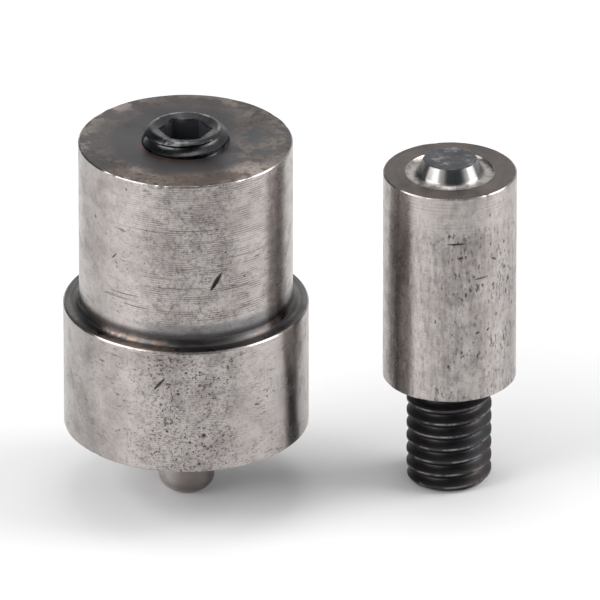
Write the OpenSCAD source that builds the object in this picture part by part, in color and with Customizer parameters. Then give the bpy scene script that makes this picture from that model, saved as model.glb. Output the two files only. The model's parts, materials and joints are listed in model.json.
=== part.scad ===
// Grommet press die set: an anvil die with a sprung pilot, and a curling punch on a threaded stud.
// The anvil stands on its pilot with its barrel up, and the punch stands on its stud with its nose up.

/* [Anvil die] */
// Diameter of the barrel that goes into the lower jaw of the press
barrel_d = 23.85; // [18:0.05:30]
// Length of the barrel, from the shoulder to the top face
barrel_h = 19.6; // [16:0.1:30]
// Width of the shoulder that rests on the lower jaw
shoulder_w = 1.775; // [1.2:0.025:6]
// Height of the flange
flange_h = 14.8; // [11:0.1:24]
// Chamfer on the top edge of the barrel
barrel_chamfer = 0.3; // [0.1:0.05:0.8]
// Chamfer on both edges of the flange
flange_chamfer = 0.4; // [0.1:0.05:0.8]
// Fillet in the corner between the shoulder and the barrel
shoulder_fillet = 0.6; // [0.2:0.05:1]
// Outside diameter of the dish that holds the flange of the grommet
dish_d = 14.6; // [11:0.1:20]
// Depth of the dish
dish_depth = 0.9; // [0.4:0.05:1.4]
// Flat land between the dish and the pilot hole
dish_land = 0.4; // [0.2:0.05:0.8]

/* [Sprung pilot] */
// Diameter of the pilot, which the grommet drops over
pilot_d = 6.3; // [5:0.05:7.2]
// How far the pilot stands out of the flange
pilot_reach = 8.45; // [5:0.05:12]
// Edge radius of the pilot's end
pilot_round = 1.8; // [0.6:0.1:2.4]
// Length of the hole that guides the pilot
guide_h = 5.5; // [4:0.1:9]
// Step from the pilot to its collar
collar_w = 0.7; // [0.4:0.05:1]
// Height of the collar that keeps the pilot in
collar_h = 2; // [1:0.1:3]
// Diameter of the spring wire
spring_wire = 0.8; // [0.5:0.05:1]
// Turns of the spring that are free to close
spring_turns = 7; // [5:1:8]
// Closed turns at each end of the spring
spring_end_turns = 1; // [1:1:2]
// Gap between the closed turns
spring_end_gap = 0.5; // [0.45:0.05:0.6]

/* [Backing screw] */
// Outside diameter of the thread of the screw and of the stud
thread_d = 9.525; // [9:0.025:12.7]
// Pitch of the thread
thread_pitch = 1.5875; // [1:0.0125:2]
// Depth of the tapped hole in the barrel
thread_depth = 11; // [10:0.1:13]
// Length of the screw
screw_len = 9.5; // [8:0.1:11]
// How far the screw stands out of the top face
screw_proud = 1.7; // [0.2:0.1:3]
// Width of the hexagon key, across its flats
key_af = 5; // [3:0.05:5.5]
// Depth of the hexagon sockets
socket_depth = 4.8; // [3:0.1:6]
// Chamfer on the upper end of the screw
screw_chamfer = 0.4; // [0.1:0.05:0.5]
// Chamfer on the lower end of the screw and on the end of the stud inside the punch body
point_chamfer = 1; // [0.4:0.05:1.2]
// Width of the shallow cone round the mouth of the screw's socket, from the hexagon's corners
socket_flare = 0.8; // [0.2:0.05:0.9]
// Depth of that cone at the hexagon's corners
socket_dip = 0.3; // [0.1:0.05:0.5]
// Chamfer at the mouth of the tapped holes
mouth_chamfer = 0.4; // [0.2:0.05:1]

/* [Curling punch] */
// Diameter of the punch body
punch_d = 14.9; // [12:0.1:24]
// Height of the punch body, from its seat to its rim face
punch_h = 25.1; // [17:0.1:40]
// Chamfer on both edges of the punch body
punch_chamfer = 0.25; // [0.1:0.05:0.8]
// Diameter of the flat top of the nose
nose_d = 5.9; // [4:0.05:7]
// Height of the nose above the rim face
nose_h = 1.55; // [1:0.05:3]
// Radius of the groove that curls the grommet
curl_r = 0.85; // [0.6:0.01:0.9]
// Distance from the edge of the nose to the centre line of the groove
curl_step = 1.38; // [1.1:0.005:1.6]
// Height of the centre of the groove above the rim face
curl_lift = 0.55; // [0:0.05:0.55]

/* [Stud] */
// How far the stud stands out of the punch body
stud_reach = 12.85; // [8:0.05:20]
// Length of the stud inside the punch body
stud_grip = 12; // [8:0.1:14]
// Chamfer on the foot of the stud
stud_chamfer = 0.7; // [0.3:0.05:1.2]

/* [Fits and stand] */
// Gap between the two dies as they stand side by side
stand_gap = 8.25; // [3:0.05:40]
// How far the punch stands behind the anvil
stand_back = 2.4; // [0:0.1:6]
// Gap all round the pilot in its guide hole
slide_gap = 0.05; // [0.02:0.01:0.12]
// Gap all round the collar in the spring chamber
collar_gap = 0.12; // [0.05:0.01:0.2]
// Gap all round a thread in its tapped hole
thread_gap = 0.03; // [0.01:0.01:0.06]
// Gap between the outside of the spring and the edge of the collar
spring_inset = 0.15; // [0.05:0.05:0.3]
// Gap between each end of the spring and its seat
seat_gap = 0.02; // [0.01:0.01:0.05]

/* [Hidden] */
$fn = 96;

steel = [0.62, 0.59, 0.58];
dark_steel = [0.42, 0.40, 0.39];
spring_steel = [0.55, 0.56, 0.58];
black_oxide = [0.10, 0.10, 0.11];

// Where the two dies stand: the box round both is centred on the origin
flange_d = barrel_d + 2 * shoulder_w;
stand_w = flange_d + stand_gap + punch_d;
anvil_x = (flange_d - stand_w) / 2;
punch_x = (stand_w - punch_d) / 2;

// Heights of the anvil die, from the surface that it stands on
face_z = pilot_reach;
shoulder_z = face_z + flange_h;
top_z = shoulder_z + barrel_h;
guide_z = face_z + guide_h;
collar_z = guide_z + collar_h;
thread_z = top_z - thread_depth;
screw_z = top_z + screw_proud - screw_len;

// Radii on the axis of the anvil die
guide_r = pilot_d / 2 + slide_gap;
collar_r = pilot_d / 2 + collar_w;
chamber_r = collar_r + collar_gap;
tapped_r = thread_d / 2 + thread_gap;

// Hexagon sockets: the foot of the stud is narrower than the top of the screw, so its cone is narrower
key_corner_r = key_af / sqrt(3);
stud_flare = (thread_d / 2 - stud_chamfer - key_corner_r) / 2;

// The dish is an arc through its two edges and its deepest point
dish_inner_r = guide_r + dish_land;
dish_half_w = (dish_d / 2 - dish_inner_r) / 2;
dish_arc_r = (dish_half_w ^ 2 + dish_depth ^ 2) / (2 * dish_depth);

// Heights of the punch
seat_z = stud_reach;
rim_z = seat_z + punch_h;
stud_len = stud_reach + stud_grip;

// Inside the punch the stud is drawn at the pitch diameter of its thread, where the flanks bear
grip_r = thread_d / 2 - 3 * sqrt(3) / 16 * thread_pitch;
stud_hole_r = grip_r + thread_gap;

// The flank of the nose runs from its top edge into the curling groove, and ends a little inside it
nose_edge = [nose_d / 2, nose_h];
curl_centre = [nose_d / 2 + curl_step, curl_lift];
to_centre = curl_centre - nose_edge;
flank_reach = 0.98 * curl_r;
flank_len = sqrt(norm(to_centre) ^ 2 - flank_reach ^ 2);
flank_angle = atan2(to_centre.y, to_centre.x) - asin(flank_reach / norm(to_centre));
flank_foot = nose_edge + flank_len * [cos(flank_angle), sin(flank_angle)];

// The spring is one tube whose pitch is small at its closed ends
spring_r = collar_r - spring_inset - spring_wire / 2;
spring_low_z = collar_z + seat_gap + spring_wire / 2;
spring_high_z = screw_z - seat_gap - spring_wire / 2;
spring_end_pitch = spring_wire + spring_end_gap;
spring_end_h = spring_end_turns * spring_end_pitch;
spring_pitch = (spring_high_z - spring_low_z - 2 * spring_end_h) / spring_turns;
spring_all_turns = spring_turns + 2 * spring_end_turns;
spring_steps = 16;
spring_sides = 6;
spring_rings = spring_all_turns * spring_steps;

function spring_height(turn) =
    turn < spring_end_turns ? turn * spring_end_pitch
    : turn < spring_end_turns + spring_turns ? spring_end_h + (turn - spring_end_turns) * spring_pitch
    : spring_end_h + spring_turns * spring_pitch
        + (turn - spring_end_turns - spring_turns) * spring_end_pitch;

function spring_point(ring) = [
    spring_r * cos(360 * ring / spring_steps),
    spring_r * sin(360 * ring / spring_steps),
    spring_low_z + spring_height(ring / spring_steps)
];

function spring_ring(ring) =
    let (centre = spring_point(ring), around = 360 * ring / spring_steps)
    [for (side = [0:spring_sides - 1])
        let (turn = 360 * side / spring_sides + 90)
        centre + spring_wire / 2
            * [cos(turn) * cos(around), cos(turn) * sin(around), sin(turn)]];

function quad(a, b, c, d) = [[a, b, c], [a, c, d]];

spring_points = [for (ring = [0:spring_rings]) each spring_ring(ring)];
spring_wall = [for (ring = [0:spring_rings - 1], side = [0:spring_sides - 1])
    let (low = ring * spring_sides, next = (side + 1) % spring_sides)
    each quad(low + side, low + spring_sides + side, low + spring_sides + next, low + next)];
spring_start = [for (side = [1:spring_sides - 2]) [0, side, side + 1]];
spring_finish = [for (side = [1:spring_sides - 2])
    let (last = spring_rings * spring_sides)
    [last, last + side + 1, last + side]];

// The least gap of the spring to itself, between points half a turn or more apart
spring_self_gap = min([for (a = [0:spring_rings], b = [0:spring_rings])
    if (b - a >= spring_steps / 2) norm(spring_point(a) - spring_point(b))]) - spring_wire;
echo(spring_self_gap = spring_self_gap);

// A rectangle from the axis out to r, with both outer corners cut off
module chamfered_half(r, z_low, z_high, low_chamfer, high_chamfer) {
    polygon([
        [0, z_low],
        [r - low_chamfer, z_low],
        [r, z_low + low_chamfer],
        [r, z_high - high_chamfer],
        [r - high_chamfer, z_high],
        [0, z_high]
    ]);
}

// A rectangle from the axis out to r
module half(r, z_low, z_high) {
    translate([0, z_low])
        square([r, z_high - z_low]);
}

// The triangle that breaks the mouth of a hole: dir is 1 where the hole opens upwards
module mouth_half(r, z, depth, dir) {
    polygon([
        [0, z],
        [r + depth, z],
        [0, z - dir * (r + depth)]
    ]);
}

// The hexagon socket of a screw with the cone round its mouth, opening at z: dir is 1 where it opens upwards
module key_socket(z, dir, flare) {
    flare_r = key_corner_r + flare;
    cone_h = flare_r * socket_dip / flare;
    translate([0, 0, z])
        mirror([0, 0, dir < 0 ? 1 : 0]) {
            translate([0, 0, -socket_depth])
                cylinder(r = key_corner_r, h = socket_depth + 1, $fn = 6);
            translate([0, 0, -cone_h])
                cylinder(r1 = 0, r2 = 2 * flare_r, h = 2 * cone_h);
        }
}

module anvil_body() {
    color(steel)
        translate([anvil_x, 0, 0])
            rotate_extrude()
                difference() {
                    union() {
                        chamfered_half(flange_d / 2, face_z, shoulder_z, flange_chamfer, flange_chamfer);
                        chamfered_half(barrel_d / 2, face_z, top_z, flange_chamfer, barrel_chamfer);
                        difference() {
                            half(barrel_d / 2 + shoulder_fillet, face_z + flange_chamfer,
                                shoulder_z + shoulder_fillet);
                            translate([barrel_d / 2 + shoulder_fillet, shoulder_z + shoulder_fillet])
                                circle(r = shoulder_fillet);
                        }
                    }
                    half(guide_r, face_z - 1, guide_z + 1);
                    half(chamber_r, guide_z, thread_z + 1);
                    half(tapped_r, thread_z, top_z + 1);
                    mouth_half(tapped_r, top_z, mouth_chamfer, 1);
                    translate([dish_inner_r + dish_half_w, face_z + dish_depth - dish_arc_r])
                        circle(r = dish_arc_r);
                }
}

module pilot_pin() {
    color(dark_steel)
        translate([anvil_x, 0, 0])
            rotate_extrude() {
                half(pilot_d / 2 - pilot_round, 0, collar_z);
                half(pilot_d / 2, pilot_round, collar_z);
                half(collar_r, guide_z, collar_z);
                intersection() {
                    translate([pilot_d / 2 - pilot_round, pilot_round])
                        circle(r = pilot_round);
                    half(pilot_d / 2, 0, collar_z);
                }
            }
}

module pilot_spring() {
    color(spring_steel)
        translate([anvil_x, 0, 0])
            polyhedron(points = spring_points, faces = concat(spring_wall, spring_start, spring_finish));
}

module spring_screw() {
    color(black_oxide)
        translate([anvil_x, 0, 0])
            difference() {
                rotate_extrude()
                    chamfered_half(thread_d / 2, screw_z, screw_z + screw_len, point_chamfer, screw_chamfer);
                key_socket(screw_z + screw_len, 1, socket_flare);
            }
}

module punch_body() {
    color(steel)
        translate([punch_x, stand_back, 0])
            rotate_extrude()
                difference() {
                    union() {
                        chamfered_half(punch_d / 2, seat_z, rim_z, punch_chamfer, punch_chamfer);
                        half(curl_centre.x, rim_z - curl_r, rim_z + nose_h);
                    }
                    translate([0, rim_z]) {
                        translate(curl_centre)
                            circle(r = curl_r);
                        polygon([
                            nose_edge,
                            flank_foot,
                            curl_centre,
                            [curl_centre.x + curl_r, curl_lift],
                            [curl_centre.x + curl_r, nose_h + 1],
                            [nose_edge.x, nose_h + 1]
                        ]);
                    }
                    half(stud_hole_r, seat_z - 1, seat_z + stud_grip);
                    mouth_half(thread_d / 2 + thread_gap, seat_z, mouth_chamfer, -1);
                }
}

module mounting_stud() {
    color(black_oxide)
        translate([punch_x, stand_back, 0])
            difference() {
                rotate_extrude()
                    difference() {
                        chamfered_half(thread_d / 2, 0, stud_len, stud_chamfer, point_chamfer);
                        translate([grip_r, stud_reach])
                            square([thread_d, stud_grip + 1]);
                    }
                key_socket(0, -1, stud_flare);
            }
}

anvil_body();
pilot_pin();
pilot_spring();
spring_screw();
punch_body();
mounting_stud();
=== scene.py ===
"""Dresses the grommet press die set: two turned steel dies, a sprung pilot, a black screw and a black stud.

Lengths are in metres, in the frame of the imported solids. Each die is a profile turned round its own upright
axis, and each thread is a profile carried along a helix.
"""
import json
import math

import bmesh
import bpy
import numpy as np
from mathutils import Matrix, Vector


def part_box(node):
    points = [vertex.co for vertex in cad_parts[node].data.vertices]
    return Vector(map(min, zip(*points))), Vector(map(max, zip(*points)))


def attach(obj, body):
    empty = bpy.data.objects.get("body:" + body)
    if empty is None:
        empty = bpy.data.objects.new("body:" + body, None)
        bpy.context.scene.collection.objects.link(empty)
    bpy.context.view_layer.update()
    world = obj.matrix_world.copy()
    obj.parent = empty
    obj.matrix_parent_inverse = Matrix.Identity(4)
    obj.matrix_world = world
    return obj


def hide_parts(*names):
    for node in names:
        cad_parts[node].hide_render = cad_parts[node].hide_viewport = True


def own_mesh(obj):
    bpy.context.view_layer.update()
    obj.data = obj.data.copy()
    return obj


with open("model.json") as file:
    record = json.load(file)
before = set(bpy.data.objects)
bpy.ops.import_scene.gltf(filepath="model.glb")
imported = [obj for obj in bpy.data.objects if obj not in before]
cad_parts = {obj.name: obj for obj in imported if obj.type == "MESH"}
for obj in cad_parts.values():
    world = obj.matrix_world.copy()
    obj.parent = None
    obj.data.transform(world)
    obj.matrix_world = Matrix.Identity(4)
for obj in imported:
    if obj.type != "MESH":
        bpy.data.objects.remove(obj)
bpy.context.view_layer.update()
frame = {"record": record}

MM = 0.001

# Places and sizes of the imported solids
mounts = {mount["name"]: mount for mount in frame["record"]["mounts"]}
anvil_low, anvil_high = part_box("anvil_body")
pilot_low, pilot_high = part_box("pilot_pin")
spring_low, spring_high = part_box("pilot_spring")
screw_low, screw_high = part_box("spring_screw")
punch_low, punch_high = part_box("punch_body")
stud_low, stud_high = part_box("mounting_stud")

ANVIL_AXIS = mounts["barrel"]["pos_m"][:2]
PUNCH_AXIS = mounts["stud"]["pos_m"][:2]
BARREL_R = mounts["barrel"]["dims"]["r_mm"] * MM
THREAD_R = mounts["stud"]["dims"]["r_mm"] * MM
SHOULDER_Z = mounts["shoulder"]["pos_m"][2]
SEAT_Z = mounts["punch_seat"]["pos_m"][2]
FACE_Z = anvil_low.z
TOP_Z = anvil_high.z
FLANGE_R = (anvil_high.x - anvil_low.x) / 2
PUNCH_R = (punch_high.x - punch_low.x) / 2
COLLAR_R = (pilot_high.x - pilot_low.x) / 2

# Sizes that the boxes and the mounts don't give
BARREL_CHAMFER = 0.14 * MM
FLANGE_CHAMFER = 0.16 * MM
SHOULDER_FILLET = 0.8 * MM
DISH_R = 7.3 * MM
DISH_DEPTH = 0.9 * MM
DISH_LAND = 0.4 * MM
PILOT_R = 3.15 * MM
PILOT_ROUND = 1.8 * MM
COLLAR_H = 2.0 * MM
SLIDE_GAP = 0.05 * MM
COLLAR_GAP = 0.12 * MM
THREAD_GAP = 0.03 * MM
PITCH = 1.5875 * MM
THREAD_DEPTH = 11.0 * MM
MOUTH_CHAMFER = 0.15 * MM
SCREW_BEVEL = 0.85 * MM
STUD_ROUND = 0.9 * MM
POINT_CHAMFER = 1.0 * MM
KEY_FLATS = 5.0 * MM
KEY_LEAD = 0.5 * MM
LEAD_SHARE = 1.05
SOCKET_DEPTH = 4.8 * MM
SOCKET_FLARE = 0.76 * MM
SOCKET_DIP = 0.25 * MM
SOCKET_POINT = 0.3 * MM
PUNCH_CHAMFER = 0.13 * MM
NOSE_R = 2.95 * MM
NOSE_H = 1.55 * MM
NOSE_ROUND = 0.1 * MM
CURL_R = 0.85 * MM
CURL_STEP = 1.38 * MM
CURL_LIFT = 0.55 * MM
STUD_GRIP = 12.0 * MM
WIRE_R = 0.4 * MM
SPRING_TURNS = 7
SPRING_END_PITCH = 1.3 * MM

RIM_Z = punch_high.z - NOSE_H
GUIDE_R = PILOT_R + SLIDE_GAP
GUIDE_Z = pilot_high.z - COLLAR_H
CHAMBER_R = COLLAR_R + COLLAR_GAP
TAPPED_R = THREAD_R + THREAD_GAP
THREAD_Z = TOP_Z - THREAD_DEPTH
GRIP_R = THREAD_R - 3 * math.sqrt(3) / 16 * PITCH
FLARE_R = KEY_FLATS / math.sqrt(3) + SOCKET_FLARE

# Form of the thread: flat crest, flanks at 60 degrees to each other, rounded root
CREST_FLAT = 0.20 * PITCH
THREAD_CUT = 0.54 * PITCH
FLANK_SLOPE = math.sqrt(3)
BORE_LEAD = 0.15 * PITCH
SCREW_CREST_Z = TOP_Z + 0.55 * MM
STUD_CREST_Z = 1.2 * MM

# Wear on the black pieces: along the crests, at the edges of ends and sockets, and a bare patch on one side
# where the left lamp's glint falls, which is wear and a painted highlight
WORN_REACH = 0.14 * MM
EDGE_SHARE = 0.12
LEAST_WEAR = 0.06
CONE_WEAR = 0.1
LIP_WEAR = 0.8
RUBBED_GLINT_SIDE = math.radians(240)
RUBBED_GLINT_WIDTH = math.radians(22)

# Fineness of the meshes: rows to a pitch, columns round an axis, and the steps at the nicks
ROWS_A_PITCH = 22
BORE_ROWS = 10
THREAD_COLUMNS = 192
PILOT_COLUMNS = 128
ANVIL_FINE_TURN, ANVIL_FINE_RISE = 0.010, 0.08 * MM
PUNCH_FINE_TURN, PUNCH_FINE_RISE = 0.013, 0.06 * MM

# A hem keeps the shading of a face flat up to its edge, and a hair keeps two finishes from sharing a point
HEM = 0.05 * MM
HAIR = 0.001 * MM

# Finish of a run of a profile: bright as it was turned, dark with scale, or polished by use
BRIGHT, DARK, POLISHED = 0, 1, 2


# Profiles in the plane of radius and height

def straight(start, end, step=0.6 * MM):
    """Points on the line from start to end, a step apart, with one more a hem inside each end."""
    start, end = np.array(start), np.array(end)
    length = np.linalg.norm(end - start)
    inner = max(length - 2 * HEM, 0.4 * length)
    hem = (length - inner) / 2
    along = np.r_[0, np.linspace(hem, length - hem, int(inner / step) + 2), length] / length
    return start + np.outer(along, end - start)


def arc(centre, radius, first, last, steps):
    """Points on a circle round centre, between two angles in degrees from its outer side."""
    turn = np.radians(np.linspace(first, last, steps + 1))
    return np.array(centre) + radius * np.column_stack([np.cos(turn), np.sin(turn)])


def even_turns(columns):
    """Angles that divide a full turn evenly."""
    return np.arange(columns) * 2 * math.pi / columns


def profile_of(*runs):
    """Joins runs of points, each with its finish, into one profile without repeated points."""
    points = np.vstack([run for run, finish in runs])
    finish = np.concatenate([np.full(len(run), finish) for run, finish in runs])
    keep = np.r_[True, np.linalg.norm(np.diff(points, axis=0), axis=1) > 1e-8]
    return points[keep], finish[keep]


def refined(values, spots, step):
    """The sorted values, with a close run added within each spot, a centre and a half width."""
    runs = [np.arange(centre - half, centre + half + step / 2, step) for centre, half in spots]
    merged = np.unique(np.concatenate([values] + runs))
    return merged[np.r_[True, np.diff(merged) > 0.25 * step]]


# Nicks: angle from the front, height, tilt, half length, half width and depth, in degrees and millimetres
ANVIL_NICKS = [
    (16.8, 31.0, 57, 1.32, 0.17, 0.16),
    (-41.5, 32.95, 46, 0.66, 0.07, 0.05),
    (-56.6, 36.7, -68, 0.25, 0.10, 0.06),
    (26.2, 30.2, -8, 0.70, 0.07, 0.03),
    (8.0, 37.4, 0, 5.40, 0.05, 0.026),
    (-20.0, 37.15, 0, 4.20, 0.05, 0.022),
    (-36.0, 28.7, 2, 2.60, 0.055, 0.034),
    (-27.0, 27.5, -2, 2.30, 0.055, 0.032),
    (35.0, 33.7, 0, 4.00, 0.050, 0.024),
    (-14.0, 31.5, 0, 3.00, 0.050, 0.022),
    (-8.0, 30.3, 0, 3.40, 0.050, 0.022),
    (27.0, 29.9, 1, 3.00, 0.050, 0.024),
    (-38.0, 28.1, 2, 2.20, 0.050, 0.030),
    (-21.4, 42.0, 6, 0.60, 0.13, 0.018),
    (-19.2, 41.7, -10, 0.40, 0.10, 0.018),
    (-12.3, 19.25, 51, 1.12, 0.13, 0.09),
    (35.4, 15.7, -14, 0.45, 0.08, 0.06),
    (8.6, 13.0, 0, 0.30, 0.20, 0.05),
    (-42.8, 20.6, -6, 0.45, 0.08, 0.04),
]
PUNCH_NICKS = [
    (5.2, 32.45, 1, 1.25, 0.08, 0.06),
    (8.7, 30.7, 4, 0.36, 0.09, 0.06),
    (27.9, 27.9, 2, 1.15, 0.07, 0.05),
    (40.6, 29.85, -33, 0.50, 0.11, 0.07),
    (-1.2, 33.4, 88, 0.28, 0.07, 0.06),
    (36.8, 31.8, 90, 0.24, 0.08, 0.06),
    (36.1, 35.35, 84, 0.24, 0.06, 0.05),
    (13.7, 26.05, 76, 0.33, 0.08, 0.07),
    (-12.7, 22.8, 86, 0.26, 0.08, 0.06),
    (-1.1, 17.3, 82, 0.25, 0.10, 0.08),
    (24.2, 21.2, 20, 0.28, 0.12, 0.06),
    (34.6, 21.35, 48, 0.30, 0.09, 0.06),
    (43.9, 22.9, 80, 0.27, 0.08, 0.06),
    (24.3, 18.35, 74, 0.38, 0.08, 0.06),
]
FRONT = -90.0
LONG_SCORE = 2.0
FULL_NICK = 0.03 * MM


def nick_depth(nicks, radius, height, turn):
    """Depth of all nicks at points of a wall: grooves with a bell section and a lens-shaped length."""
    depth = np.zeros(np.broadcast(radius, height, turn).shape)
    for angle, level, tilt, half_length, half_width, deep in nicks:
        around = (turn - math.radians(FRONT + angle)) * radius
        above = height - level * MM
        lean = math.radians(tilt)
        along = (around * math.cos(lean) + above * math.sin(lean)) / (half_length * MM)
        across = (above * math.cos(lean) - around * math.sin(lean)) / (half_width * MM)
        swell = np.clip(1 - along ** 2, 0, 1)
        depth += deep * MM * np.exp(-(across / np.maximum(0.25 + 0.75 * swell, 0.1)) ** 2) * swell
    return depth


def nick_spots(nicks, radius):
    """Angles and heights of the nicks, each with the half width over which the mesh is fine there.

    A long score changes little along its length, so it asks for close heights alone.
    """
    angles, heights = [], []
    for angle, level, tilt, half_length, half_width, deep in nicks:
        lean = math.radians(tilt)
        around = half_length * abs(math.cos(lean)) + 2 * half_width * abs(math.sin(lean))
        above = half_length * abs(math.sin(lean)) + 2 * half_width * abs(math.cos(lean))
        if half_length < LONG_SCORE:
            angles.append((math.radians(FRONT + angle), around * MM / radius))
        heights.append((level * MM, above * MM))
    return angles, heights


def edge_dents(turn, seed, count, deep):
    """Depth of wear along a round edge, from seeded draws.

    It is a sum of cosine waves that weaken as they get finer, with a few bell-shaped dents.
    """
    draw = np.random.default_rng(seed)
    waves = sum(np.cos(k * turn + draw.uniform(0, 2 * math.pi)) / k ** 0.6 for k in range(3, 22))
    depth = 0.10 * deep * waves
    for place, half, share in zip(draw.uniform(-math.pi, math.pi, count), draw.uniform(0.015, 0.07, count),
                                  draw.uniform(0.3, 1.0, count)):
        apart = np.angle(np.exp(1j * (turn - place)))
        depth = depth + share * deep * np.exp(-(apart / half) ** 2)
    return np.clip(depth, -0.3 * deep, deep)


# Meshes

def add_object(name, data):
    """A new object in the scene."""
    made = bpy.data.objects.new(name, data)
    bpy.context.scene.collection.objects.link(made)
    return made


def make_object(name, points, faces, marks):
    """A smooth object from points and faces, with doubles merged and each mark stored on its points."""
    mesh = bpy.data.meshes.new(name)
    mesh.from_pydata(points, [], faces)
    for mark, values in marks.items():
        mesh.attributes.new(mark, "FLOAT", "POINT").data.foreach_set("value", values.astype(np.float32))
    work = bmesh.new()
    work.from_mesh(mesh)
    bmesh.ops.remove_doubles(work, verts=work.verts, dist=1e-7)
    bmesh.ops.dissolve_degenerate(work, edges=work.edges, dist=1e-8)
    bmesh.ops.recalc_face_normals(work, faces=work.faces)
    work.to_mesh(mesh)
    work.free()
    mesh.shade_smooth()
    mesh.set_sharp_from_angle(angle=math.radians(30))
    return add_object(name, mesh)


def ring_faces(rows, columns, offset, shift=0):
    """Quads between neighbouring rows of a grid that closes on itself round the axis.

    With a shift, the last column joins the first one that many rows further on, as a helix does.
    """
    row, column = np.meshgrid(np.arange(rows - 1), np.arange(columns), indexing="ij")
    wraps = column == columns - 1
    beside = (column + 1) % columns
    step = row + np.where(wraps, shift, 0)
    fits = step + 1 < rows
    corners = [row * columns + column, step * columns + beside,
               (step + 1) * columns + beside, (row + 1) * columns + column]
    return offset + np.stack([corner[fits] for corner in corners], axis=1)


# Marks stored on the points: dark (the dies' dark faces, and painted shade inside the sockets), nicks, worn
# crests and polished faces, each from 0 to 1
MARKS = ("dark", "nick", "crest", "polish")


class Shell:
    """Collects the grids of one piece before they become one mesh."""

    def __init__(self, axis, turns):
        self.axis = axis
        self.turns = turns
        self.points, self.faces, self.marks = [], [], {mark: [] for mark in MARKS}
        self.count = 0

    def add(self, radius, height, shift=0, **marks):
        """Adds rows of points: x and y are the axis plus radius times cosine and sine of the turn."""
        radius, height, turn = np.broadcast_arrays(radius, height, self.turns)
        self.points.append(np.column_stack([(self.axis[0] + radius * np.cos(turn)).ravel(),
                                            (self.axis[1] + radius * np.sin(turn)).ravel(), height.ravel()]))
        self.faces.append(ring_faces(*radius.shape, self.count, shift))
        for mark in MARKS:
            self.marks[mark].append(np.broadcast_to(marks.get(mark, 0.0), radius.shape).ravel())
        self.count += radius.size

    def finished(self, name):
        marks = {mark: np.concatenate(values) for mark, values in self.marks.items()}
        return make_object(name, np.vstack(self.points), np.vstack(self.faces).tolist(), marks)


def turned(shell, profile, nicks=(), dents=()):
    """Turns a profile round the axis, and sinks nicks and edge dents along the profile's own normal.

    The normal is the profile's direction turned by a quarter. A dent has a point of the profile, a reach, and
    a depth round the axis that fades away from that point.
    """
    points, finish = profile
    run = np.gradient(points, axis=0)
    run /= np.maximum(np.linalg.norm(run, axis=1, keepdims=True), 1e-12)
    out = np.column_stack([run[:, 1], -run[:, 0]])
    radius, height = points[:, :1], points[:, 1:]
    nick = nick_depth(nicks, radius, height, shell.turns) * (np.abs(out[:, :1]) > 0.9) * (radius > 2 * MM)
    sink = nick
    for place, reach, depth in dents:
        near = np.clip(1 - np.linalg.norm(points - np.array(place), axis=1) / reach, 0, 1)
        sink = sink + near[:, None] * depth
    shell.add(radius - sink * out[:, :1], height - sink * out[:, 1:], nick=np.clip(nick / FULL_NICK, 0, 1),
              dark=(finish == DARK)[:, None], polish=(finish == POLISHED)[:, None])


def from_crest(along):
    """Distance along the axis from the middle of the nearest crest."""
    return np.abs((along + PITCH / 2) % PITCH - PITCH / 2)


def thread_form(along):
    """Cut of the thread below its crest: 0 on the crest, growing along the flank, rounded into the root."""
    cut = np.maximum(from_crest(along) - CREST_FLAT / 2, 0) * FLANK_SLOPE
    return THREAD_CUT * np.tanh((cut / THREAD_CUT) ** 2) ** 0.5


def helix_rows(shell, low, high, start, rows=ROWS_A_PITCH):
    """Heights of rows that climb one pitch a turn, kept between low and high, and their place on the thread.

    start is the height of a crest at angle 0, and rows is the number of rows to a pitch.
    """
    first = math.floor((low - start) / PITCH) - 2
    last = math.ceil((high - start) / PITCH) + 2
    level = np.linspace(first, last, (last - first) * rows + 1)[:, None] * PITCH
    climb = PITCH * shell.turns / (2 * math.pi)
    height = np.clip(start + level + climb, low, high)
    return height, height - start - climb


def worn(along):
    """Share of wear on a thread: full in the middle of a crest, and none WORN_REACH away from it."""
    return np.clip(1 - from_crest(along) / WORN_REACH, 0, 1)


def thread_end(shell, end_z, side, length, start, bow):
    """End of a thread: its radius grows from the socket's edge to the crest, and the thread cuts in.

    It grows along a line where bow is 0, and along a quarter of an ellipse where bow is 1. side is 1 for an
    upper end and -1 for a lower one. The end is worn at its edge, and bare towards the front left, where the
    left lamp's glint falls: that patch is wear and a painted highlight.
    """
    drop = np.r_[0, 0.02, np.linspace(0.05, 1, 20)][:, None]
    grown = (1 - bow) * drop + bow * np.sqrt(1 - (1 - drop) ** 2)
    swell = FLARE_R + (THREAD_R - FLARE_R) * grown
    height = end_z - side * length * drop
    along = height - start - PITCH * shell.turns / (2 * math.pi)
    radius = np.minimum(swell, THREAD_R - thread_form(along))
    edge = np.clip(1 - drop / EDGE_SHARE, LEAST_WEAR, 1)
    # Bare patch on the front left, where the left lamp's glint falls: wear and a painted highlight
    rubbed_glint = np.exp(-((shell.turns - RUBBED_GLINT_SIDE) / RUBBED_GLINT_WIDTH) ** 2)
    shell.add(radius, height, crest=np.maximum(worn(along) * drop, np.maximum(edge, rubbed_glint)))


def hexagon(turn):
    """Radius of a hexagon with a corner at angle 0.

    It is half the width across the flats over the cosine of the angle from the middle of the nearest flat.
    """
    return KEY_FLATS / 2 / np.cos(turn % (math.pi / 3) - math.pi / 6)


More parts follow.
